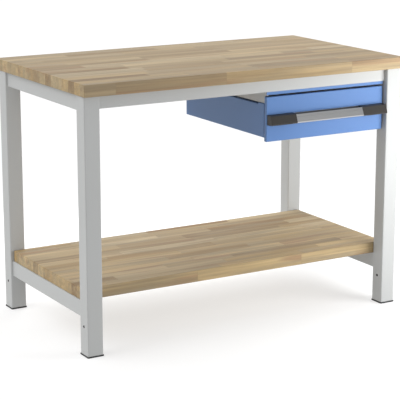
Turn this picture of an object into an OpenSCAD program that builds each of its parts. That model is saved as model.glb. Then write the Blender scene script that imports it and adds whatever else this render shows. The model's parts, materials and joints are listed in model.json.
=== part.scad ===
// Steel-framed workbench with a solid beech worktop, a beech shelf and one drawer
// hung under the right-hand half. Millimetres, +Z up. The origin is on the floor
// under the middle of the worktop, +X runs along the bench to the right as seen
// from the front, and +Y runs from the front to the back.

/* [Overall] */
// Length of the worktop, end to end
bench_l = 1250; // [1200:10:1500]
// Depth of the worktop, front to back
bench_d = 700; // [680:10:800]
// Height of the working surface above the floor
bench_h = 900; // [850:10:1000]
// Thickness of the solid wood worktop
top_t = 40; // [30:1:50]

/* [Frame] */
// Width of the square leg tube
leg_w = 56; // [50:1:60]
// Wall thickness of the frame tubes
tube_t = 2; // [1.5:0.5:3]
// Outer corner radius of the leg tube
tube_r = 4; // [3:0.5:5]
// How far the worktop reaches past the legs at each end
end_overhang = 5; // [0:1:10]
// How far the worktop reaches past the legs at the front and at the back
face_overhang = 15; // [10:1:20]
// Width of the crossbars that join a front leg to a back leg
bar_w = 44; // [40:1:46]
// How far a crossbar lies inside the outer face of the legs
bar_inset = 8; // [4:1:9]
// Height of the upper crossbars
upper_bar_h = 52; // [45:1:60]
// Height of the lower crossbars
lower_bar_h = 54.5; // [45:0.5:60]
// Height of the lower crossbars' underside above the floor
lower_bar_z = 124; // [115:1:150]
// Height of the channel rails along the front and the back
rail_h = 45; // [40:1:50]
// Depth of the channel rails
rail_d = 30; // [25:1:32]
// How far the rails' outer face lies inside the outer face of the legs
rail_inset = 15; // [13:1:18]
// Diameter of the open holes low in both sides of each leg
anchor_hole_d = 9; // [7:0.5:12]
// Height of those holes above the floor
anchor_hole_z = 101; // [95:1:105]
// Thickness of the plastic foot plates
foot_t = 5; // [3:1:8]
// How far a foot plate stands out past the leg all round
foot_lip = 2; // [0:0.5:3]

/* [Shelf] */
// Thickness of the solid wood shelf
shelf_t = 40; // [30:1:45]
// Length of the shelf
shelf_l = 1216; // [1200:2:1220]
// Gap between the shelf's long edges and the legs
shelf_gap = 3; // [2:1:6]

/* [Drawer housing] */
// Distance of the drawer unit's middle from the middle of the bench
unit_x = 316; // [300:1:318]
// Outer width over the two housing sides
housing_w = 484; // [470:2:486]
// Height of the housing sides
housing_h = 118; // [112:1:122]
// Depth of the housing sides
housing_d = 526; // [520:2:540]
// Sheet thickness of the housing sides, back and front strip
sheet_t = 1.5; // [1:0.5:2]
// Height of the hanger channels between the housing and the rails
hanger_h = 41; // [38:1:43]
// Width of the hanger channels
hanger_w = 30; // [26:1:32]
// Open gap between a hanger and the housing side, away from the bolted ends
hanger_gap = 5; // [2:0.5:6]
// Height of the strip that shows between the front rail and the drawer
strip_h = 10; // [9:0.5:14]

/* [Drawer] */
// Width of the drawer front
front_w = 486; // [476:2:488]
// Height of the drawer front
front_h = 154; // [140:0.5:154]
// Height of the gap between the drawer front and the strip above it
front_gap = 7; // [3:0.5:7]
// Depth of the folded drawer front
front_d = 15; // [12:1:16]
// How far the drawer front's face lies behind the worktop's front edge
front_setback = 34; // [34:1:36]
// Sheet thickness of the drawer's steel panels
panel_t = 1.2; // [1:0.1:1.5]
// Height of the drawer's sides
tray_h = 103; // [90:1:104]
// Length of the drawer's sides
tray_l = 499; // [450:1:505]

/* [Slides] */
// Height of the telescopic slides
slide_h = 45; // [40:1:50]
// Width of one slide, from the housing side to the drawer side
slide_w = 12.7; // [12.5:0.1:13.5]
// Length of each slide member
slide_l = 500; // [450:10:510]
// Sheet thickness of the slide members
slide_t = 1.5; // [1.2:0.1:1.6]

/* [Handle] */
// Length of the handle over its end caps
handle_l = 482; // [460:2:484]
// Length of each end cap
cap_l = 103; // [80:1:120]
// How far the handle's lower edge stands out from the drawer front
handle_out = 34; // [28:1:34]
// How far the handle's upper edge stands out from the drawer front
handle_top_out = 24; // [20:1:26]
// Height of the handle
handle_h = 34; // [30:1:40]
// Height of the drawer front below the handle
handle_z = 58.5; // [50:0.5:70]
// Wall thickness of the aluminium profile
handle_t = 2.4; // [2:0.1:3]

/* [Hidden] */
$fn = 48;

// Colours of the finished surfaces
grey_coat = "#C6C8C7";
blue_coat = "#6F9AD6";
beech = "#B9A184";
black_plastic = "#2B2B2B";
dark_plastic = "#3E3C39";
bare_aluminium = "#B4B3B0";
zinc_steel = "#A9ACAF";

// Legs: outer faces and tube centres
leg_face_x = bench_l / 2 - end_overhang;
leg_face_y = bench_d / 2 - face_overhang;
leg_x = leg_face_x - leg_w / 2;
leg_y = leg_face_y - leg_w / 2;
leg_inner_x = leg_face_x - leg_w;
leg_inner_y = leg_face_y - leg_w;
frame_top = bench_h - top_t;

// Crossbars, rails and shelf
bar_x = leg_face_x - bar_inset - bar_w / 2;
rail_y = leg_face_y - rail_inset;
rail_z = frame_top - rail_h;
rail_plate_t = 4;
shelf_z = lower_bar_z + lower_bar_h;
shelf_d = 2 * (leg_inner_y - shelf_gap);

// Drawer unit, measured from its own middle line at unit_x
front_y = -bench_d / 2 + front_setback;
front_top = rail_z - strip_h - front_gap;
front_z = front_top - front_h;
housing_y = front_y + front_d + 3;
housing_top = rail_z - hanger_h;
housing_z = housing_top - housing_h;
housing_flange = 20;
housing_tab_l = 36;
strip_y = front_y;
strip_flange = 9;
hanger_x = housing_w / 2 - 4;
hanger_t = 2;
hanger_back = rail_y;
slide_x = housing_w / 2 - sheet_t;
slide_z = housing_z + 44;
slide_y = housing_y + 2;
tray_w = 2 * (slide_x - slide_w);
tray_z = housing_z + 6;
tray_y = front_y + front_d + panel_t;

// Handle
handle_bottom = front_z + handle_z;
bar_in_cap = 20;
cap_skin = 0.8;

// Fixings
rail_bolt_d = 8;
rail_bolt_l = 18;
rail_bolt_step = 20;
rail_bolt_y = rail_y - rail_d / 2;
hanger_bolt_d = 6;
hanger_bolt_x = hanger_x - hanger_w / 2;
hanger_bolt_y = rail_y - rail_d / 2 - 3;
wood_screw_d = 5;
wood_screw_l = 25;
worktop_screw_x = 400;
shelf_screw_x = bar_x - 8;
shelf_screw_y = 180;
driver_hole_d = 14;
front_screw_d = 5;
front_screw_x = 200;
front_screw_inset = 9;
hole_clearance = 0.2;

// ---- Helpers ----

// Mirrors its children into the negative X half when side is -1
module on_side(side) {
  if (side < 0) mirror([1, 0, 0]) children();
  else children();
}

// Mirrors its children into the front half when face is -1
module on_face(face) {
  if (face < 0) mirror([0, 1, 0]) children();
  else children();
}

// Puts its children on one side of the drawer unit's middle line
module on_unit_side(side) {
  translate([unit_x, 0, 0]) on_side(side) children();
}

// Sweeps a profile drawn in X and Z from y0 to y1
module along_y(y0, y1) {
  translate([0, y1, 0]) rotate([90, 0, 0]) linear_extrude(y1 - y0) children();
}

// Sweeps a profile drawn in Y and Z from x0 to x1
module along_x(x0, x1) {
  translate([x0, 0, 0]) rotate([90, 0, 90]) linear_extrude(x1 - x0) children();
}

module rounded_rect(w, d, r) {
  square([w - 2 * r, d], center = true);
  square([w, d - 2 * r], center = true);
  for (x = [-1, 1], y = [-1, 1])
    translate([x * (w / 2 - r), y * (d / 2 - r)]) circle(r = r);
}

module tube_section(w, d, t, r) {
  difference() {
    rounded_rect(w, d, r);
    rounded_rect(w - 2 * t, d - 2 * t, max(r - t, 0.5));
  }
}

// Channel with its web on the left, its flanges reaching right, from the origin
module channel_section(w, h, t) {
  difference() {
    square([w, h]);
    translate([t, t]) square([w, h - 2 * t]);
  }
}

// Round hole or shank along X, centred on the origin
module along_x_cylinder(d, l) {
  rotate([0, 90, 0]) cylinder(d = d, h = l, center = true);
}

// Hexagon-headed bolt that points up, with the underside of its head at the origin
module hex_bolt(d, l, head_h) {
  translate([0, 0, -head_h]) cylinder(d = 1.85 * d, h = head_h, $fn = 6);
  cylinder(d = d, h = l);
}

// Pan-headed screw that points up, with the underside of its head at the origin
module pan_screw(d, l) {
  head_h = 0.6 * d;
  translate([0, 0, -head_h]) cylinder(d = 2 * d, h = head_h);
  cylinder(d = d, h = l);
}

// ---- Wood ----

module worktop() {
  color(beech)
  difference() {
    translate([-bench_l / 2, -bench_d / 2, frame_top]) cube([bench_l, bench_d, top_t]);
    for (x = [-1, 1], y = [-1, 1])
      translate([x * worktop_screw_x, y * rail_bolt_y, frame_top - 1])
        cylinder(d = wood_screw_d + hole_clearance, h = wood_screw_l);
  }
}

module shelf() {
  color(beech)
  difference() {
    translate([-shelf_l / 2, -shelf_d / 2, shelf_z]) cube([shelf_l, shelf_d, shelf_t]);
    for (x = [-1, 1], y = [-1, 1])
      translate([x * shelf_screw_x, y * shelf_screw_y, shelf_z - 1])
        cylinder(d = wood_screw_d + hole_clearance, h = wood_screw_l);
  }
}

// ---- Frame ----

module leg(side, face) {
  color(grey_coat)
  on_side(side) on_face(face)
  difference() {
    translate([leg_x, leg_y, foot_t])
      linear_extrude(frame_top - foot_t) tube_section(leg_w, leg_w, tube_t, tube_r);
    translate([leg_x, leg_y, anchor_hole_z]) along_x_cylinder(anchor_hole_d, 2 * leg_w);
    for (z = [-1, 1])
      translate([leg_inner_x, rail_bolt_y, rail_z + rail_h / 2 + z * rail_bolt_step / 2])
        along_x_cylinder(rail_bolt_d + hole_clearance, 3 * tube_t);
  }
}

// Plastic plate under a leg with a plug that fits inside the tube
module foot(side, face) {
  plate_w = leg_w + 2 * foot_lip;
  plug_w = leg_w - 2 * tube_t - 0.4;
  color(black_plastic)
  translate([side * leg_x, face * leg_y, 0]) {
    linear_extrude(foot_t) rounded_rect(plate_w, plate_w, tube_r);
    linear_extrude(foot_t + 22)
      tube_section(plug_w, plug_w, 2.5, 2);
  }
}

// Tube from a front leg to a back leg, its underside at z
module crossbar(side, z, h) {
  on_side(side)
  translate([bar_x, 0, z + h / 2])
    along_y(-leg_inner_y, leg_inner_y) tube_section(bar_w, h, tube_t, 3);
}

module upper_crossbar(side) {
  color(grey_coat) crossbar(side, frame_top - upper_bar_h, upper_bar_h);
}

// The shelf screws pass through the bar's top wall; wide holes below let a driver in
module lower_crossbar(side) {
  color(grey_coat)
  difference() {
    crossbar(side, lower_bar_z, lower_bar_h);
    for (y = [-1, 1])
      translate([side * shelf_screw_x, y * shelf_screw_y, 0]) {
        translate([0, 0, lower_bar_z - tube_t]) cylinder(d = driver_hole_d, h = 3 * tube_t);
        translate([0, 0, shelf_z - 2 * tube_t])
          cylinder(d = wood_screw_d + hole_clearance, h = 3 * tube_t);
      }
  }
}

// Channel rail between the legs, open to the inside, with a plate welded in each end
module rail(face) {
  screw_x = [-worktop_screw_x, worktop_screw_x];
  hanger_hole_x = [unit_x - hanger_bolt_x, unit_x + hanger_bolt_x];
  color(grey_coat)
  on_face(face)
  difference() {
    union() {
      translate([0, rail_y, rail_z])
        along_x(-leg_inner_x, leg_inner_x) mirror([1, 0, 0]) channel_section(rail_d, rail_h, tube_t);
      for (x = [-leg_inner_x, leg_inner_x - rail_plate_t])
        translate([x, rail_y - rail_d, rail_z]) cube([rail_plate_t, rail_d, rail_h]);
    }
    for (x = [-1, 1], z = [-1, 1])
      translate([x * leg_inner_x, rail_bolt_y, rail_z + rail_h / 2 + z * rail_bolt_step / 2])
        along_x_cylinder(rail_bolt_d + hole_clearance, 3 * rail_plate_t);
    for (x = screw_x)
      translate([x, rail_bolt_y, frame_top - 2 * tube_t])
        cylinder(d = wood_screw_d + hole_clearance, h = 3 * tube_t);
    for (x = hanger_hole_x)
      translate([x, face < 0 ? hanger_bolt_y : rail_bolt_y, rail_z - tube_t])
        cylinder(d = hanger_bolt_d + hole_clearance, h = 3 * tube_t);
  }
}

// ---- Drawer housing ----

// Channel that carries the housing from the front rail to the back rail. Its lower
// front corner is cut away so that the drawer front can close.
module hanger(side) {
  front_end = strip_y + sheet_t + 0.5;
  color(grey_coat)
  on_unit_side(side)
  difference() {
    translate([hanger_x, 0, housing_top])
      along_y(front_end, hanger_back) mirror([1, 0, 0]) channel_section(hanger_w, hanger_h, hanger_t);
    translate([hanger_x - 2 * hanger_w, front_end - 1, housing_top - 1])
      cube([3 * hanger_w, housing_y - front_end + 1, front_top + front_gap / 2 - housing_top + 1]);
    for (y = [-hanger_bolt_y, rail_bolt_y])
      translate([hanger_bolt_x, y, rail_z - 2 * hanger_t])
        cylinder(d = hanger_bolt_d + hole_clearance, h = 3 * hanger_t);
  }
}

// Channel that is taller at its two ends, where it meets the hanger
module housing_side(side) {
  back_y = housing_y + housing_d;
  color(blue_coat)
  on_unit_side(side)
  translate([housing_w / 2, 0, housing_z]) {
    along_y(housing_y, back_y)
      mirror([1, 0, 0]) channel_section(housing_flange, housing_h - hanger_gap, sheet_t);
    for (y = [housing_y, back_y - housing_tab_l])
      along_y(y, y + housing_tab_l)
        mirror([1, 0, 0]) channel_section(housing_flange, housing_h, sheet_t);
  }
}

module housing_back() {
  gap = 0.5;
  panel_w = 2 * slide_x;
  panel_z = housing_z + sheet_t + gap;
  panel_h = housing_h - hanger_gap - 2 * (sheet_t + gap);
  color(blue_coat)
  translate([unit_x - panel_w / 2, housing_y + housing_d, panel_z])
    rotate([0, 0, -90]) linear_extrude(panel_h) channel_section(housing_flange, panel_w, sheet_t);
}

// Folded strip under the front rail, as wide as the drawer front and flush with it;
// its flanges stop short of the hangers
module housing_strip() {
  flange_w = 2 * (hanger_x - hanger_w - 4);
  strip_z = rail_z - strip_h;
  color(blue_coat)
  translate([unit_x, 0, 0]) {
    translate([-front_w / 2, strip_y, strip_z]) cube([front_w, sheet_t, strip_h]);
    translate([0, strip_y, strip_z])
      along_x(-flange_w / 2, flange_w / 2) channel_section(strip_flange, strip_h, sheet_t);
  }
}

// ---- Slides: three nested channels on each side ----

module slide_outer(side) {
  color(zinc_steel)
  on_unit_side(side)
  translate([slide_x, 0, slide_z - slide_h / 2])
    along_y(slide_y, slide_y + slide_l)
      mirror([1, 0, 0]) channel_section(slide_w - 1.7, slide_h, slide_t);
}

module slide_middle(side) {
  middle_h = slide_h - 7;
  color(zinc_steel)
  on_unit_side(side)
  translate([slide_x - slide_t - 0.8, 0, slide_z - middle_h / 2])
    along_y(slide_y, slide_y + slide_l)
      mirror([1, 0, 0]) channel_section(slide_w - 4.5, middle_h, slide_t);
}

module slide_inner(side) {
  inner_h = slide_h - 15;
  color(zinc_steel)
  on_unit_side(side)
  translate([slide_x - slide_w, 0, slide_z - inner_h / 2])
    along_y(slide_y, slide_y + slide_l)
      channel_section(slide_w - 2 * slide_t - 1.7, inner_h, slide_t);
}

// ---- Drawer ----

module drawer_tray() {
  color(grey_coat)
  translate([unit_x, 0, tray_z])
    along_y(tray_y, tray_y + tray_l)
      difference() {
        translate([-tray_w / 2, 0]) square([tray_w, tray_h]);
        translate([-tray_w / 2 + panel_t, panel_t]) square([tray_w - 2 * panel_t, tray_h]);
      }
}

module drawer_back() {
  color(grey_coat)
  translate([unit_x - tray_w / 2 + panel_t, tray_y + tray_l - panel_t, tray_z + panel_t])
    cube([tray_w - 2 * panel_t, panel_t, tray_h - panel_t]);
}

// Plate that closes the back of the drawer front and the front of the tray
module drawer_front_plate() {
  border = 3;
  color(grey_coat)
  difference() {
    translate([unit_x - front_w / 2 + border, tray_y - panel_t, front_z + border])
      cube([front_w - 2 * border, panel_t, front_h - 2 * border]);
    front_screw_places() cylinder(d = front_screw_d + hole_clearance, h = 8, center = true);
  }
}

// Folded steel front: a skin with its four edges turned back and then inward
module drawer_front() {
  lip = 18;
  color(blue_coat)
  difference() {
    translate([unit_x - front_w / 2, front_y, front_z]) cube([front_w, front_d, front_h]);
    translate([unit_x - front_w / 2 + panel_t, front_y + panel_t, front_z + panel_t])
      cube([front_w - 2 * panel_t, front_d - 2 * panel_t, front_h - 2 * panel_t]);
    translate([unit_x - front_w / 2 + lip, front_y + front_d / 2, front_z + lip])
      cube([front_w - 2 * lip, front_d, front_h - 2 * lip]);
    front_screw_places() cylinder(d = front_screw_d + hole_clearance, h = 8, center = true);
  }
}

// Turns its children to point forward at the four screws behind the drawer front
module front_screw_places() {
  for (side = [-1, 1], high = [-1, 1]) at_front_screw(side, high) children();
}

module at_front_screw(side, high) {
  translate([
    unit_x + side * front_screw_x,
    tray_y,
    front_z + front_h / 2 + high * (front_h / 2 - front_screw_inset)
  ])
    rotate([90, 0, 0]) children();
}

// ---- Handle: distance out from the drawer front to the left, height upward ----

// Outline of the handle grown by skin, from the drawer front out to the sloping face
module handle_outline(skin) {
  polygon([
    [0, -skin],
    [-handle_out + 3, 2.2 - skin],
    [-handle_out, 5],
    [-handle_out, 7],
    [-handle_top_out - skin, handle_h - 3],
    [-handle_top_out + 1.5, handle_h - 1.5 + skin],
    [0, handle_h + skin]
  ]);
}

// Aluminium profile: a back web, a floor and a sloping face, open along the top
module bar_outline() {
  difference() {
    handle_outline(0);
    polygon([
      [-handle_t, handle_t + 1],
      [-handle_out + 6, handle_t + 4],
      [-handle_out + 5, 8.5],
      [-handle_top_out + handle_t, handle_h - 3],
      [-handle_top_out + handle_t + 1, handle_h + 1],
      [-handle_t, handle_h + 1]
    ]);
  }
}

module handle_bar() {
  half = handle_l / 2 - cap_l + bar_in_cap;
  color(bare_aluminium)
  translate([unit_x, front_y, handle_bottom]) along_x(-half, half) bar_outline();
}

module handle_cap(side) {
  inner_end = handle_l / 2 - cap_l;
  color(dark_plastic)
  translate([unit_x, front_y, handle_bottom]) on_side(side)
    difference() {
      along_x(inner_end, handle_l / 2) handle_outline(cap_skin);
      along_x(inner_end - 1, inner_end + bar_in_cap) bar_outline();
    }
}

// ---- Fixings ----

// Bolt from inside a rail through its end plate into the leg
module rail_bolt(side, face, high) {
  color(zinc_steel)
  on_side(side)
  translate([
    leg_inner_x - rail_plate_t,
    face * rail_bolt_y,
    rail_z + rail_h / 2 + high * rail_bolt_step / 2
  ])
    rotate([0, 90, 0]) rotate(30) hex_bolt(rail_bolt_d, rail_bolt_l, 5.3);
}

// Bolt from below through a hanger and a rail flange, with its nut above
module hanger_bolt(side, face) {
  color(zinc_steel)
  on_unit_side(side)
  translate([hanger_bolt_x, face < 0 ? -hanger_bolt_y : rail_bolt_y, rail_z - hanger_t]) {
    hex_bolt(hanger_bolt_d, 14, 4);
    translate([0, 0, hanger_t + tube_t]) cylinder(d = 1.85 * hanger_bolt_d, h = 5, $fn = 6);
  }
}

module worktop_screw(side, face) {
  color(zinc_steel)
  translate([side * worktop_screw_x, face * rail_bolt_y, frame_top - tube_t])
    pan_screw(wood_screw_d, wood_screw_l);
}

module shelf_screw(side, face) {
  color(zinc_steel)
  translate([side * shelf_screw_x, face * shelf_screw_y, shelf_z - tube_t])
    pan_screw(wood_screw_d, wood_screw_l);
}

module front_screw(side, high) {
  color(zinc_steel) at_front_screw(side, high) pan_screw(front_screw_d, 10);
}

// ---- Nodes ----

worktop();
shelf();
leg(-1, -1);  // leg_front_left
leg(1, -1);  // leg_front_right
leg(-1, 1);  // leg_back_left
leg(1, 1);  // leg_back_right
foot(-1, -1);  // foot_front_left
foot(1, -1);  // foot_front_right
foot(-1, 1);  // foot_back_left
foot(1, 1);  // foot_back_right
upper_crossbar(-1);  // upper_crossbar_left
upper_crossbar(1);  // upper_crossbar_right
lower_crossbar(-1);  // lower_crossbar_left
lower_crossbar(1);  // lower_crossbar_right
rail(-1);  // front_rail
rail(1);  // back_rail
hanger(-1);  // hanger_left
hanger(1);  // hanger_right
housing_side(-1);  // housing_side_left
housing_side(1);  // housing_side_right
housing_back();
housing_strip();
slide_outer(-1);  // slide_outer_left
slide_outer(1);  // slide_outer_right
slide_middle(-1);  // slide_middle_left
slide_middle(1);  // slide_middle_right
slide_inner(-1);  // slide_inner_left
slide_inner(1);  // slide_inner_right
drawer_tray();
drawer_back();
drawer_front_plate();
drawer_front();
handle_bar();
handle_cap(-1);  // handle_cap_left
handle_cap(1);  // handle_cap_right
rail_bolt(-1, -1, -1);  // rail_bolt_front_left_low
rail_bolt(-1, -1, 1);  // rail_bolt_front_left_high
rail_bolt(1, -1, -1);  // rail_bolt_front_right_low
rail_bolt(1, -1, 1);  // rail_bolt_front_right_high
rail_bolt(-1, 1, -1);  // rail_bolt_back_left_low
rail_bolt(-1, 1, 1);  // rail_bolt_back_left_high
rail_bolt(1, 1, -1);  // rail_bolt_back_right_low
rail_bolt(1, 1, 1);  // rail_bolt_back_right_high
hanger_bolt(-1, -1);  // hanger_bolt_front_left
hanger_bolt(1, -1);  // hanger_bolt_front_right
hanger_bolt(-1, 1);  // hanger_bolt_back_left
hanger_bolt(1, 1);  // hanger_bolt_back_right
worktop_screw(-1, -1);  // worktop_screw_front_left
worktop_screw(1, -1);  // worktop_screw_front_right
worktop_screw(-1, 1);  // worktop_screw_back_left
worktop_screw(1, 1);  // worktop_screw_back_right
shelf_screw(-1, -1);  // shelf_screw_front_left
shelf_screw(1, -1);  // shelf_screw_front_right
shelf_screw(-1, 1);  // shelf_screw_back_left
shelf_screw(1, 1);  // shelf_screw_back_right
front_screw(-1, -1);  // front_screw_low_left
front_screw(1, -1);  // front_screw_low_right
front_screw(-1, 1);  // front_screw_high_left
front_screw(1, 1);  // front_screw_high_right
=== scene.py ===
# Looks of the workbench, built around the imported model. Metres, +Z up, the bench's front faces -Y.
import json
import math

import bmesh
import bpy
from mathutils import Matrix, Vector


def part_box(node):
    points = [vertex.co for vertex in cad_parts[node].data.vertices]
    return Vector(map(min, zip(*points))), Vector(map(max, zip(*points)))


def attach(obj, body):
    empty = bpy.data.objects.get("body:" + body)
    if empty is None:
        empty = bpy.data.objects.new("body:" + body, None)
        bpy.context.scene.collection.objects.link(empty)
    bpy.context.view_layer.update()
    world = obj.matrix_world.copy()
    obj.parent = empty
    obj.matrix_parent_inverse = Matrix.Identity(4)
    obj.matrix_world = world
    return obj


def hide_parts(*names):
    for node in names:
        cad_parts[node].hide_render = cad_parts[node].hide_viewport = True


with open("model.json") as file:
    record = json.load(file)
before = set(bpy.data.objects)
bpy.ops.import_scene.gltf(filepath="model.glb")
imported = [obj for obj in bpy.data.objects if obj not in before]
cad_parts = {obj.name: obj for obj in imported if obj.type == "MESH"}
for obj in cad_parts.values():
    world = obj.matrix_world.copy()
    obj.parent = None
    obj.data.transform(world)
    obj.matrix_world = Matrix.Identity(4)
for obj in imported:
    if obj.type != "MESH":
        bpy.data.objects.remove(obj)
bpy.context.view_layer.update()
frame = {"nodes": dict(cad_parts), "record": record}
MM = 0.001
SIDES = ("left", "right")
CORNERS = [f"{face}_{side}" for face in ("front", "back") for side in SIDES]


# ---- Shader nodes ----

def node(tree, kind, inputs=None, **settings):
    """A shader node; a socket given as an input is linked, and anything else is set as its value."""
    made = tree.nodes.new("ShaderNode" + kind)
    for key, value in settings.items():
        setattr(made, key, value)
    for key, value in (inputs or {}).items():
        if isinstance(value, bpy.types.NodeSocket):
            tree.links.new(value, made.inputs[key])
        else:
            made.inputs[key].default_value = value
    return made


def calc(tree, operation, *values):
    return node(tree, "Math", dict(enumerate(values)), operation=operation).outputs[0]


def spread(tree, value, low, high, start=0.0, end=1.0):
    """value, from start to end, spread over low to high."""
    return node(tree, "MapRange", {
        "Value": value, "From Min": start, "From Max": end, "To Min": low, "To Max": high,
    }).outputs[0]


def stretched(tree, place, scale):
    return node(tree, "VectorMath", {0: place, 1: scale}, operation="MULTIPLY").outputs[0]


def noise(tree, place, scale, detail=2.0, roughness=0.5):
    """Noise from 0 to 1; scale is in cycles a metre, one number or one for each axis."""
    if isinstance(scale, tuple):
        place, scale = stretched(tree, place, scale), 1.0
    return node(tree, "TexNoise", {
        "Vector": place, "Scale": scale, "Detail": detail, "Roughness": roughness,
    }).outputs["Fac"]


def rgb(tree, *values):
    return node(tree, "CombineColor", dict(enumerate(values))).outputs[0]


def mixed(tree, share, first, second, blend_type="MIX"):
    return node(tree, "Mix", {0: share, 6: first, 7: second}, data_type="RGBA", blend_type=blend_type).outputs[2]


def shaded(tree, colour, factor):
    """colour, darker or lighter by factor."""
    return mixed(tree, 1.0, colour, rgb(tree, factor, factor, factor), "MULTIPLY")


def bump(tree, height, depth, strength):
    return node(tree, "Bump", {"Height": height, "Distance": depth, "Strength": strength}).outputs[0]


def new_material(name):
    material = bpy.data.materials.new(name)
    material.use_nodes = True
    tree = material.node_tree
    tree.nodes.clear()
    shader = node(tree, "BsdfPrincipled")
    node(tree, "OutputMaterial", {"Surface": shader.outputs[0]})
    place = node(tree, "TexCoord").outputs["Object"]
    return material, tree, shader, place


def feed(tree, shader, **sockets):
    for name, value in sockets.items():
        target = shader.inputs[name.replace("_", " ")]
        if isinstance(value, bpy.types.NodeSocket):
            tree.links.new(value, target)
        else:
            target.default_value = value


# ---- Materials ----

def beech(name, seed, usual, figure):
    """Solid beech glued up from staves that run along X. Each stave has its own tint, round the usual colour,
    and its own growth rings. figure is how strongly they show."""
    material, tree, shader, place = new_material(name)
    x, y, z = node(tree, "SeparateXYZ", {0: place}).outputs
    row_w, stave_l = 0.0435, 0.38
    uneven_rows, uneven_staves = 0.3, 1.0
    row_shift, stave_shift = 400.0, (7.0, 7.0, 7.0)
    ring_w, ring_wander, ring_depth = 0.0075, 0.028, 0.030
    fleck_share, fleck_depth = 0.63, 0.07
    glue_w, glue_l, glue_depth = 0.006, 0.0012, 0.16
    grey_brown, red_brown = (0.345, 0.272, 0.172, 1.0), (0.350, 0.225, 0.125, 1.0)

    def cells(w, randomness, feature="F1"):
        made = node(tree, "TexVoronoi", {"W": w, "Scale": 1.0, "Randomness": randomness},
                    voronoi_dimensions="1D", feature=feature)
        return made.outputs["Color" if feature == "F1" else "Distance"]

    # One random colour for each row of staves shifts its joints, and one for each stave sets its looks
    across = calc(tree, "ADD", calc(tree, "DIVIDE", y, row_w), seed)
    row = node(tree, "SeparateColor", {0: cells(across, uneven_rows)}).outputs
    along = calc(tree, "ADD", calc(tree, "DIVIDE", x, stave_l), calc(tree, "MULTIPLY", row[0], row_shift))
    own = cells(along, uneven_staves)
    tint, hue, turn = node(tree, "SeparateColor", {0: own}).outputs

    # Growth rings: straight lines on the end grain, long streaks along the faces
    moved = node(tree, "VectorMath", {0: place, 1: stretched(tree, own, stave_shift)}, operation="ADD").outputs[0]
    angle = calc(tree, "MULTIPLY", turn, math.pi)
    depth = calc(tree, "ADD", calc(tree, "MULTIPLY", y, calc(tree, "COSINE", angle)),
                 calc(tree, "MULTIPLY", z, calc(tree, "SINE", angle)))
    wander = calc(tree, "MULTIPLY", noise(tree, moved, (2.2, 14.0, 14.0), 3.0), ring_wander)
    rings = calc(tree, "SINE", calc(tree, "MULTIPLY", calc(tree, "ADD", depth, wander), 2 * math.pi / ring_w))
    streaks = noise(tree, moved, (3.0, 170.0, 170.0), 4.0, 0.6)
    bands = noise(tree, moved, (1.6, 48.0, 48.0), 2.0)
    clouds = noise(tree, moved, (4.0, 45.0, 45.0), 3.0)
    heart = noise(tree, moved, (2.6, 26.0, 26.0), 2.0)
    flecks = calc(tree, "GREATER_THAN", noise(tree, moved, (110.0, 1500.0, 1500.0), 1.0), fleck_share)

    # Colour: the stave's tint, warmer or cooler, with greyer clouds and redder heartwood
    ramp = node(tree, "ValToRGB", {"Fac": tint})
    tints = [
        (0.0, (-0.130, -0.114, -0.071)), (0.10, (-0.068, -0.062, -0.040)), (0.30, (-0.025, -0.022, -0.014)),
        (0.60, (0.0, 0.0, 0.0)), (0.86, (0.026, 0.024, 0.016)), (1.0, (0.065, 0.056, 0.036)),
    ]
    bar = ramp.color_ramp
    for at, offset in tints[1:-1]:
        bar.elements.new(at)
    for element, (at, offset) in zip(bar.elements, tints):
        element.position = at
        element.color = (*[u + o * figure for u, o in zip(usual, offset)], 1.0)
    warm = rgb(tree, spread(tree, hue, 0.97, 1.04), spread(tree, hue, 1.01, 0.99), spread(tree, hue, 1.12, 0.90))
    colour = mixed(tree, 1.0, ramp.outputs[0], warm, "MULTIPLY")
    colour = mixed(tree, spread(tree, clouds, 0.0, 0.50 * figure, 0.42, 0.72), colour, grey_brown)
    colour = mixed(tree, spread(tree, heart, 0.0, 0.50 * figure, 0.58, 0.68), colour, red_brown)

    # Light and dark: streaks, bands, rings, flecks, and the thin glue lines between staves
    factor = calc(tree, "MULTIPLY", spread(tree, streaks, 1 - 0.24 * figure, 1 + 0.27 * figure),
                  spread(tree, bands, 1 - 0.24 * figure, 1 + 0.24 * figure))
    factor = calc(tree, "SUBTRACT", factor, calc(tree, "MULTIPLY", rings, ring_depth))
    factor = calc(tree, "SUBTRACT", factor, calc(tree, "MULTIPLY", flecks, fleck_depth))
    glue_y = calc(tree, "LESS_THAN", cells(across, uneven_rows, "DISTANCE_TO_EDGE"), glue_w)
    glue_x = calc(tree, "LESS_THAN", cells(along, uneven_staves, "DISTANCE_TO_EDGE"), glue_l)
    glue = calc(tree, "MAXIMUM", glue_y, glue_x)
    colour = shaded(tree, colour, calc(tree, "SUBTRACT", factor, calc(tree, "MULTIPLY", glue, glue_depth)))

    # The end grain, which faces X, soaks up more oil
    facing = node(tree, "SeparateXYZ", {0: node(tree, "TexCoord").outputs["Normal"]}).outputs[0]
    end_grain = calc(tree, "ABSOLUTE", facing)
    soaked = rgb(tree, *[spread(tree, end_grain, 1.0, end) for end in (1.03, 0.99, 0.86)])
    colour = mixed(tree, 1.0, colour, soaked, "MULTIPLY")
    normal = bump(tree, calc(tree, "ADD", streaks, calc(tree, "MULTIPLY", flecks, -0.5)), 0.0002, 0.35)
    feed(tree, shader, Base_Color=colour, Roughness=spread(tree, streaks, 0.40, 0.54), Normal=normal)
    return material


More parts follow.
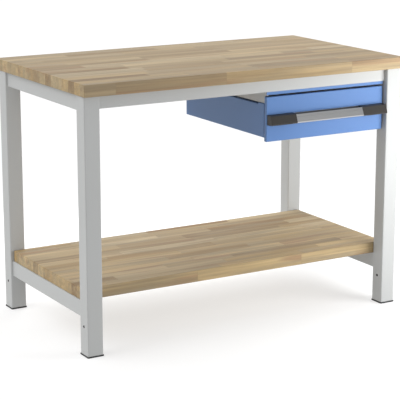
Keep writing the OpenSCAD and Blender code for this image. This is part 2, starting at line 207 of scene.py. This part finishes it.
def leg_hollow_shade(tree, place):
    """1 inside the leg tubes and on the edges of their open holes, where a near-black is painted as the shade
    inside them, and 0 outside.
    The four legs stand symmetrically."""
    lo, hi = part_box("leg_back_right")
    hole_r, hole_z, wall = 4.6 * MM, lo.z + 96 * MM, 1.2 * MM
    x, y, z = node(tree, "SeparateXYZ", {0: place}).outputs
    off_x, off_y = [
        calc(tree, "ABSOLUTE", calc(tree, "SUBTRACT", calc(tree, "ABSOLUTE", value), (low + high) / 2))
        for value, low, high in ((x, lo.x, hi.x), (y, lo.y, hi.y))
    ]
    inside = calc(tree, "LESS_THAN", calc(tree, "MAXIMUM", off_x, off_y), (hi.x - lo.x) / 2 - wall)
    from_axis = node(tree, "VectorMath", {0: node(tree, "CombineXYZ", {
        0: off_y, 1: calc(tree, "SUBTRACT", z, hole_z)}).outputs[0]}, operation="LENGTH").outputs["Value"]
    return calc(tree, "MAXIMUM", inside, calc(tree, "LESS_THAN", from_axis, hole_r))


def powder_coat(name, colour, roughness, shade_mask=None):
    """Powder coat: a satin colour with a very fine grain and a slow unevenness in its gloss. The optional mask
    function says where a near-black is painted in as shade inside hollows."""
    material, tree, shader, place = new_material(name)
    painted_shade_colour = (0.035, 0.032, 0.030, 1.0)
    grain = noise(tree, place, 1300.0, 1.0)
    peel = noise(tree, place, 210.0, 2.0)
    slow = noise(tree, place, 3.5, 3.0)
    height = calc(tree, "ADD", grain, calc(tree, "MULTIPLY", peel, 1.6))
    base = shaded(tree, (*colour, 1.0), spread(tree, slow, 0.975, 1.025))
    # Painted shade: near-black where the mask is 1, in place of the shadow inside hollows
    if shade_mask:
        base = mixed(tree, shade_mask(tree, place), base, painted_shade_colour)
    feed(tree, shader,
         Base_Color=base,
         Roughness=spread(tree, slow, roughness - 0.04, roughness + 0.04),
         Normal=bump(tree, height, 0.00012, 0.22))
    return material


def plastic(name, colour, roughness, grain_size):
    """Moulded plastic with a spark-eroded grain."""
    material, tree, shader, place = new_material(name)
    grain = noise(tree, place, 1.0 / grain_size, 2.0, 0.6)
    slow = noise(tree, place, 14.0, 2.0)
    feed(tree, shader,
         Base_Color=shaded(tree, (*colour, 1.0), spread(tree, grain, 0.85, 1.15)),
         Roughness=spread(tree, slow, roughness - 0.05, roughness + 0.05),
         Normal=bump(tree, grain, 0.00015, 0.45))
    return material


def aluminium(name):
    """Satin anodised profile, with the die's fine lines along its length."""
    material, tree, shader, place = new_material(name)
    lines = noise(tree, place, (1.5, 1100.0, 1100.0), 3.0, 0.65)
    bands = noise(tree, place, (0.8, 140.0, 140.0), 2.0)
    uneven = calc(tree, "MULTIPLY", spread(tree, lines, 0.90, 1.08), spread(tree, bands, 0.94, 1.05))
    feed(tree, shader,
         Base_Color=shaded(tree, (0.55, 0.555, 0.56, 1.0), uneven),
         Metallic=1.0,
         Roughness=spread(tree, lines, 0.30, 0.46),
         Normal=bump(tree, lines, 0.0001, 0.25))
    return material


def zinc(name):
    """Zinc-plated steel, its plating cloudy and a little uneven in gloss."""
    material, tree, shader, place = new_material(name)
    cloud = noise(tree, place, 75.0, 3.0)
    fine = noise(tree, place, 900.0, 2.0)
    feed(tree, shader,
         Base_Color=mixed(tree, cloud, (0.50, 0.52, 0.55, 1.0), (0.63, 0.62, 0.58, 1.0)),
         Metallic=1.0,
         Roughness=spread(tree, cloud, 0.28, 0.44),
         Normal=bump(tree, fine, 0.00008, 0.2))
    return material


GREY = (0.552, 0.562, 0.557)
MATERIALS = {
    "beech": beech("beech_top", 29.0, (0.422, 0.317, 0.177), 1.35),
    "grey_coat": powder_coat("grey_coat", GREY, 0.42),
    "blue_coat": powder_coat("blue_coat", (0.110, 0.230, 0.510), 0.40),
    "black_plastic": plastic("black_plastic", (0.022, 0.022, 0.023), 0.55, 0.0009),
    "dark_plastic": plastic("dark_plastic", (0.034, 0.031, 0.028), 0.50, 0.0006),
    "bare_aluminium": aluminium("bare_aluminium"),
    "zinc_steel": zinc("zinc_steel"),
}
for part in frame["record"]["subparts"]:
    for place in frame["nodes"][part["node"]].material_slots:
        place.material = MATERIALS[part["material_slot"]]
shelf_beech = beech("beech_shelf", 101.0, (0.424, 0.313, 0.165), 1.75)
# The legs' coat has near-black painted shade inside the tubes and their holes
leg_coat_painted_shade = powder_coat("leg_coat_painted_shade", GREY, 0.42, leg_hollow_shade)
for corner in CORNERS:
    frame["nodes"]["leg_" + corner].material_slots[0].material = leg_coat_painted_shade


# ---- Mesh code ----

SHARP = math.radians(35)
SAME_PLACE = 0.001 * MM


def in_space(axis, u, v, at):
    """A profile point (u, v) at a place along an axis: profiles are drawn in the two other axes, in order."""
    return {"X": (at, u, v), "Y": (u, at, v), "Z": (u, v, at)}[axis]


def corner_arc(before, at, after, radius, steps):
    """Points and left-hand normals round one rounded corner of a line in the plane."""
    a, b = (at - before).normalized(), (after - at).normalized()
    turn = math.atan2(a.x * b.y - a.y * b.x, a.dot(b))
    side = 1.0 if turn > 0 else -1.0
    start = at - a * (radius * math.tan(abs(turn) / 2))
    centre = start + Vector((-a.y, a.x)) * (side * radius)
    arc = []
    for k in range(steps + 1):
        t = turn * k / steps
        heading = Vector((a.x * math.cos(t) - a.y * math.sin(t), a.x * math.sin(t) + a.y * math.cos(t)))
        normal = Vector((-heading.y, heading.x))
        arc.append((centre - normal * (side * radius), normal))
    return arc


def folded(path, thickness, radii, steps=5):
    """Both faces of a sheet bent along path, as two equally long lines. radii are the mid-line bend radii."""
    path = [Vector(p) for p in path]
    if not isinstance(radii, (list, tuple)):
        radii = [radii] * (len(path) - 2)
    line = []
    for i, p in enumerate(path):
        if 0 < i < len(path) - 1:
            arc = corner_arc(path[i - 1], p, path[i + 1], radii[i - 1], steps)
            # In a hem one bend starts where the last one ends, and their shared point is kept once.
            touching = (arc[0][0] - line[-1][0]).length < SAME_PLACE
            line += arc[1:] if touching else arc
        else:
            heading = (path[1] - path[0] if i == 0 else path[-1] - path[-2]).normalized()
            line.append((p, Vector((-heading.y, heading.x))))
    half = thickness / 2
    return [p + n * half for p, n in line], [p - n * half for p, n in line]


def rounded(points, radius, steps=4):
    """A closed outline with its corners rounded; radius is one number or one for each corner."""
    points = [Vector(p) for p in points]
    radii = radius if isinstance(radius, (list, tuple)) else [radius] * len(points)
    line = []
    for i, p in enumerate(points):
        if radii[i]:
            line += [q for q, n in corner_arc(points[i - 1], p, points[(i + 1) % len(points)], radii[i], steps)]
        else:
            line.append(p)
    return line


def sheet_along(mesh, axis, stations):
    """A solid sheet through stations, each a place along the axis and the two lines of folded()."""
    rows = []
    for at, (front, back) in stations:
        rows.append([[mesh.verts.new(in_space(axis, *p, at)) for p in line] for line in (front, back)])
    count = len(rows[0][0])
    for (f0, b0), (f1, b1) in zip(rows, rows[1:]):
        for i in range(count - 1):
            mesh.faces.new((f0[i], f0[i + 1], f1[i + 1], f1[i]))
            mesh.faces.new((b0[i], b1[i], b1[i + 1], b0[i + 1]))
        for i in (0, count - 1):
            mesh.faces.new((f0[i], f1[i], b1[i], b0[i]))
    for front, back in (rows[0], rows[-1]):
        for i in range(count - 1):
            mesh.faces.new((front[i], front[i + 1], back[i + 1], back[i]))


def loft(mesh, rings):
    """A closed solid through rings of equally many points in space."""
    rows = [[mesh.verts.new(p) for p in ring] for ring in rings]
    for low, high in zip(rows, rows[1:]):
        for i in range(len(low)):
            j = (i + 1) % len(low)
            mesh.faces.new((low[i], low[j], high[j], high[i]))
    mesh.faces.new(rows[0])
    mesh.faces.new(rows[-1])


def bar_along(mesh, axis, outline, start, end):
    loft(mesh, [[in_space(axis, *p, at) for p in outline] for at in (start, end)])


def rectangle(u0, u1, v0, v1):
    return [(u0, v0), (u1, v0), (u1, v1), (u0, v1)]


def piece(name, mesh, body, slot, replaced=(), material=None, ease=0.0, segments=2):
    """Makes an object of a bmesh, eases its sharp edges by ease, and puts it on its body."""
    bmesh.ops.recalc_face_normals(mesh, faces=mesh.faces)
    for face in mesh.faces:
        face.smooth = True
    data = bpy.data.meshes.new(name)
    mesh.to_mesh(data)
    mesh.free()
    data.set_sharp_from_angle(angle=SHARP)
    made = bpy.data.objects.new(name, data)
    bpy.context.scene.collection.objects.link(made)
    if ease:
        edges = made.modifiers.new("eased_edges", "BEVEL")
        edges.width, edges.segments = ease, segments
        edges.limit_method, edges.angle_limit = "ANGLE", SHARP
    made.modifiers.new("flat_faces", "WEIGHTED_NORMAL").keep_sharp = True
    data.materials.append(material or MATERIALS[slot])
    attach(made, body)
    if replaced:
        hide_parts(*replaced)
    return made


# ---- Wood ----

def quarter_round(radius, steps):
    """Steps round an eased edge, each as how far it is inset and how far along it is."""
    angles = [math.pi / 2 * k / steps for k in range(steps + 1)]
    return [(radius * (1 - math.sin(a)), radius * (1 - math.cos(a))) for a in angles]


def board(name, material):
    """A glued-up board with softly eased edges and corners."""
    lo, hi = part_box(name)
    radius = 2.2 * MM
    outline = rounded(rectangle(lo.x, hi.x, lo.y, hi.y), radius)
    middle = Vector(((lo.x + hi.x) / 2, (lo.y + hi.y) / 2))
    half = Vector(((hi.x - lo.x) / 2, (hi.y - lo.y) / 2))

    def ring(inset, z):
        shrink = [(half[i] - inset) / half[i] for i in (0, 1)]
        return [(middle.x + (p.x - middle.x) * shrink[0], middle.y + (p.y - middle.y) * shrink[1], z)
                for p in outline]

    edge = quarter_round(radius, 4)
    mesh = bmesh.new()
    loft(mesh, [ring(inset, lo.z + up) for inset, up in edge]
         + [ring(inset, hi.z - up) for inset, up in reversed(edge)])
    piece(name + "_board", mesh, "frame", "beech", [name], material)


board("worktop", MATERIALS["beech"])
board("shelf", shelf_beech)


# ---- Frame ----

def foot_plate(corner):
    """A moulded plate, rounded where it meets the floor and where it meets its leg."""
    lo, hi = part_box("foot_" + corner)
    leg_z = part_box("leg_" + corner)[0].z
    mesh = bmesh.new()
    middle = (lo + hi) / 2
    corner_r, plate_h = 4.5, 5.0
    rings = []
    for inset, z in ((1.0, 0.0), (0.3, 0.35), (0.0, 1.1), (0.0, 3.4), (0.5, 4.4), (1.3, 4.9), (1.9, plate_h)):
        w = (hi.x - lo.x) / 2 - inset * MM
        square = rectangle(middle.x - w, middle.x + w, middle.y - w, middle.y + w)
        outline = rounded(square, (corner_r - inset) * MM, 5)
        rings.append([(p.x, p.y, lo.z + z / plate_h * (leg_z - lo.z)) for p in outline])
    loft(mesh, rings)
    piece("foot_plate_" + corner, mesh, "frame", "black_plastic", ["foot_" + corner])


for corner in CORNERS:
    foot_plate(corner)


def rail(face, out):
    """A rolled channel with a plate inside each end. out is -1 where its back faces the front of the bench."""
    lo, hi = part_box(face + "_rail")
    t, end_t, bend, end_r = 2 * MM, 4 * MM, 2.6 * MM, 1.2 * MM
    web, open_edge = (lo.y + t / 2, hi.y) if out < 0 else (hi.y - t / 2, lo.y)
    top, bottom = hi.z - t / 2, lo.z + t / 2
    section = folded([(open_edge, top), (web, top), (web, bottom), (open_edge, bottom)], t, bend)
    mesh = bmesh.new()
    sheet_along(mesh, "X", [(lo.x, section), (hi.x, section)])
    for start in (lo.x, hi.x - end_t):
        inner = sorted((web - out * 1.3 * MM, open_edge))
        plate = rounded(rectangle(*inner, lo.z + 2.2 * MM, hi.z - 2.2 * MM), end_r)
        bar_along(mesh, "X", plate, start, start + end_t)
    piece(face + "_rail_channel", mesh, "frame", "grey_coat", [face + "_rail"], ease=0.35 * MM)


rail("front", -1)
rail("back", 1)


def evenly(points, step):
    """Points at even steps along a line."""
    made, left = [points[0]], step
    for a, b in zip(points, points[1:]):
        length, done = (b - a).length, 0.0
        while length - done >= left:
            done += left
            made.append(a + (b - a) * (done / length))
            left = step
        left -= length - done
    return made


def weld(level, side):
    """Rippled weld beads down both sides and across the underside of a crossbar, where it meets its two legs."""
    lo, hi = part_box(f"{level}_crossbar_{side}")
    bead, ripple, step, ends, bend = 1.6 * MM, 4.5 * MM, 1.5 * MM, 2.5 * MM, 3 * MM
    around = [2 * math.pi * k / 8 for k in range(8)]
    corners = [Vector(p) for p in ((lo.x, hi.z - ends), (lo.x, lo.z), (hi.x, lo.z), (hi.x, hi.z - ends))]
    path = [corners[0]]
    for i in (1, 2):
        path += [p for p, n in corner_arc(corners[i - 1], corners[i], corners[i + 1], bend, 5)]
    path = evenly(path + [corners[3]], step)
    mesh = bmesh.new()
    for y in (lo.y, hi.y):
        rings = []
        for i, p in enumerate(path):
            heading = (path[min(i + 1, len(path) - 1)] - path[max(i - 1, 0)]).normalized()
            out = Vector((heading.y, -heading.x))
            fade = min(1.0, 0.35 + 0.3 * min(i, len(path) - 1 - i))
            r = bead * fade * (1 + 0.16 * math.sin(2 * math.pi * i * step / ripple))
            rings.append([(p.x + out.x * r * math.cos(a), y + r * math.sin(a), p.y + out.y * r * math.cos(a))
                          for a in around])
        loft(mesh, rings)
    piece(f"weld_{level}_{side}", mesh, "frame", "grey_coat")


for level in ("upper", "lower"):
    for side in SIDES:
        weld(level, side)


# ---- Drawer housing ----

def housing_side(side, inward):
    """A folded channel whose upper flange steps up at both ends to meet the hanger."""
    lo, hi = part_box("housing_side_" + side)
    t, bend, flange, tab, step = 1.5 * MM, 2.0 * MM, 20 * MM, 36 * MM, 5 * MM
    web = (lo.x if inward > 0 else hi.x) + inward * t / 2
    end = web + inward * (flange - t / 2)

    def section(top):
        return folded([(end, top - t / 2), (web, top - t / 2), (web, lo.z + t / 2), (end, lo.z + t / 2)], t, bend)

    high, low = section(hi.z), section(hi.z - step)
    mesh = bmesh.new()
    sheet_along(mesh, "Y", [(lo.y, high), (lo.y + tab - MM, high), (lo.y + tab + MM, low),
                            (hi.y - tab - MM, low), (hi.y - tab + MM, high), (hi.y, high)])
    piece("housing_panel_" + side, mesh, "frame", "blue_coat", ["housing_side_" + side], ease=0.3 * MM)


housing_side("left", 1)
housing_side("right", -1)


# ---- Slides ----

def slide_member(name, body, web_left, thickness, radius):
    lo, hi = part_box(name)
    web, end = (lo.x + thickness / 2, hi.x) if web_left else (hi.x - thickness / 2, lo.x)
    top, bottom = hi.z - thickness / 2, lo.z + thickness / 2
    section = folded([(end, top), (web, top), (web, bottom), (end, bottom)], thickness, radius, 6)
    mesh = bmesh.new()
    sheet_along(mesh, "Y", [(lo.y, section), (hi.y, section)])
    piece(name + "_rail", mesh, body, "zinc_steel", [name], ease=0.3 * MM)


for side in SIDES:
    left = side == "left"
    slide_member("slide_outer_" + side, "frame", left, 1.5 * MM, 2.8 * MM)
    slide_member("slide_middle_" + side, "slide_middles", left, 1.5 * MM, 2.4 * MM)
    slide_member("slide_inner_" + side, "drawer", not left, 1.5 * MM, 2.0 * MM)


# ---- Drawer ----

def tray():
    """Drawer sides and floor in one sheet, with hems along both top edges, and a hemmed back between them."""
    lo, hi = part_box("drawer_tray")
    t, hem, deep, bend, side_gap = 1.2 * MM, 1.2 * MM, 11 * MM, 2 * MM, 2.5 * MM
    left, right, floor, top = lo.x + t / 2, hi.x - t / 2, lo.z + t / 2, hi.z - t / 2
    path = [(left + 2 * hem, hi.z - deep), (left + 2 * hem, top), (left, top), (left, floor),
            (right, floor), (right, top), (right - 2 * hem, top), (right - 2 * hem, hi.z - deep)]
    section = folded(path, t, [hem, hem, bend, bend, hem, hem])
    mesh = bmesh.new()
    sheet_along(mesh, "Y", [(lo.y, section), (hi.y, section)])
    piece("drawer_shell", mesh, "drawer", "grey_coat", ["drawer_tray"], ease=0.25 * MM)

    lo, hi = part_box("drawer_back")
    web, top = hi.y - t / 2, hi.z - t / 2
    section = folded([(web - 2 * hem, hi.z - deep), (web - 2 * hem, top), (web, top), (web, lo.z)], t, [hem, hem])
    mesh = bmesh.new()
    sheet_along(mesh, "X", [(lo.x + side_gap, section), (hi.x - side_gap, section)])
    piece("drawer_rear_panel", mesh, "drawer", "grey_coat", ["drawer_back"], ease=0.25 * MM)


tray()


def drawer_front():
    """A pressed pan: a flat face, rounded bends to the four sides, and a lip turned in behind."""
    lo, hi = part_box("drawer_front")
    t, bend, lip, depth = 1.2 * MM, 2.4 * MM, 18 * MM, hi.y - lo.y
    corner_r, least_r = 1.8 * MM, 0.3 * MM
    stations = quarter_round(bend, 5)
    stations += [(inset, depth - back) for inset, back in reversed(stations)]
    stations += [(lip, depth), (lip, depth - t), (t + MM, depth - t), (t, depth - t - MM), (t, t + MM), (t + MM, t)]
    mesh = bmesh.new()
    rings = []
    for inset, back in stations:
        face = rectangle(lo.x + inset, hi.x - inset, lo.z + inset, hi.z - inset)
        outline = rounded(face, max(least_r, corner_r - inset), 4)
        rings.append([in_space("Y", *p, lo.y + back) for p in outline])
    loft(mesh, rings)
    piece("drawer_front_pan", mesh, "drawer", "blue_coat", ["drawer_front"])


drawer_front()


# ---- Handle ----

def handle():
    """An aluminium profile along X, open at the top for the fingers, between two moulded caps."""
    lo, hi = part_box("handle_bar")

    def outline(points):
        return [(hi.y + u * MM, lo.z + v * MM) for u, v in points]

    # The sloping face runs from the lip at the bottom to the upper edge, with fine grooves pressed into it
    foot, head = Vector((-34.0, 7.0)), Vector((-24.0, 31.0))
    along, inside = (head - foot).normalized(), Vector((24.0, -10.0)).normalized()
    groove = ((-0.7, 0), (-0.3, 0.7), (0.3, 0.7), (0.7, 0))
    slope = [tuple(foot)]
    for at in (4.0, 17.0, 19.5, 22.0):
        slope += [tuple(foot + along * (at + step) + inside * deep) for step, deep in groove]
    slope += [tuple(head)]
    outer = [(0, 34), (0, 0), (-30.6, 2.0), (-32.6, 3.1), (-33.7, 4.6)]
    inner = [(-23.3, 32.0), (-22.2, 32.0), (-21.6, 31.2), (-28.6, 9.2), (-28.2, 7.0), (-26.6, 6.3),
             (-2.4, 3.4), (-2.4, 34)]
    mesh = bmesh.new()
    bar_along(mesh, "X", outline(outer + slope + inner), lo.x, hi.x)
    piece("handle_profile", mesh, "drawer", "bare_aluminium", ["handle_bar"], ease=0.15 * MM)

    for side in SIDES:
        name = "handle_cap_" + side
        cap_lo, cap_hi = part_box(name)
        section = outline([(0, -0.8), (-30.8, 1.4), (-34, 4.6), (-34, 7.2),
                           (-24.8, 31.2), (-22.6, 33.4), (0, 34.8)])
        mesh = bmesh.new()
        bar_along(mesh, "X", section, cap_lo.x, cap_hi.x)
        piece("handle_end_" + side, mesh, "drawer", "dark_plastic", [name], ease=1.1 * MM, segments=3)


handle()


# ---- Floor, light and camera ----

def stage_piece(name, faces, grey, glow):
    """Part of the pale surroundings, which aren't part of the bench. Its own glow keeps it white."""
    mesh = bmesh.new()
    for corners in faces:
        mesh.faces.new([mesh.verts.new(corner) for corner in corners])
    bmesh.ops.remove_doubles(mesh, verts=mesh.verts, dist=1e-4)
    data = bpy.data.meshes.new(name)
    mesh.to_mesh(data)
    mesh.free()
    made = bpy.data.objects.new(name, data)
    bpy.context.scene.collection.objects.link(made)
    material, tree, shader, place = new_material("pale_" + name)
    feed(tree, shader, Base_Color=(grey, grey, grey, 1.0), Roughness=0.9, Specular_IOR_Level=0.1,
         Emission_Color=(1.0, 1.0, 1.0, 1.0), Emission_Strength=glow)
    data.materials.append(material)
    return made


def studio():
    # A floor with a round white backdrop. Neither sends light back to the bench: its undersides stay dark.
    reach, height, steps = 45.0, 30.0, 32
    below = -0.2 * MM
    square = [(x, y, below) for x, y in rectangle(-reach, reach, -reach, reach)]
    floor = stage_piece("floor", [square], 0.48, 0.56)
    floor.visible_diffuse = False
    angles = [2 * math.pi * k / steps for k in range(steps + 1)]
    ring = [(reach * math.cos(a), reach * math.sin(a)) for a in angles]
    wall = [[(*p, below), (*q, below), (*q, height), (*p, height)] for p, q in zip(ring, ring[1:])]
    backdrop = stage_piece("backdrop", wall, 0.0, 1.0)
    backdrop.visible_diffuse = backdrop.visible_glossy = backdrop.visible_shadow = False

    world = bpy.data.worlds.new("studio")
    world.use_nodes = True
    sky = world.node_tree.nodes["Background"].inputs
    sky["Color"].default_value = (1.0, 1.0, 1.0, 1.0)
    sky["Strength"].default_value = 0.56
    bpy.context.scene.world = world

    def light(name, kind, source, target, energy, **settings):
        data = bpy.data.lights.new(name, kind)
        data.energy = energy
        for key, value in settings.items():
            setattr(data, key, value)
        made = bpy.data.objects.new(name, data)
        made.location = source
        made.rotation_euler = (Vector(target) - Vector(source)).to_track_quat("-Z", "Y").to_euler()
        bpy.context.scene.collection.objects.link(made)
        return made

    # Two broad high lights, then three soft lamps that aren't seen themselves
    light("high_left", "SUN", (-2.0, 0.6, 2.1), (0, 0, 0), 1.20, angle=math.radians(50))
    light("high_back", "SUN", (0.5, 1.1, 2.1), (0, 0, 0), 0.60, angle=math.radians(60))
    lamps = {
        "near_right": ((1.10, -1.10, 0.66), (0.45, -0.2, 0.55), 13.9),
        "behind": ((0.45, 1.3, 0.75), (0.2, 0.3, 0.25), 10.0),
        "above_right": ((1.3, 0.7, 1.9), (0.4, 0.1, 0.9), 4.0),
    }
    for name, (source, target, energy) in lamps.items():
        lamp = light(name, "AREA", source, target, energy, shape="SQUARE", size=0.75)
        lamp.visible_camera = lamp.visible_glossy = False


studio()

camera = bpy.data.objects.new("camera", bpy.data.cameras.new("camera"))
camera.data.sensor_width = 36.0
camera.data.lens = 136.28
camera.location = (-2.67147, -4.54456, 1.64536)
camera.rotation_euler = (math.radians(90 - 13.429), 0.0, math.radians(-30.43))
bpy.context.scene.collection.objects.link(camera)
bpy.context.scene.camera = camera
bpy.context.scene.view_settings.view_transform = "Standard"
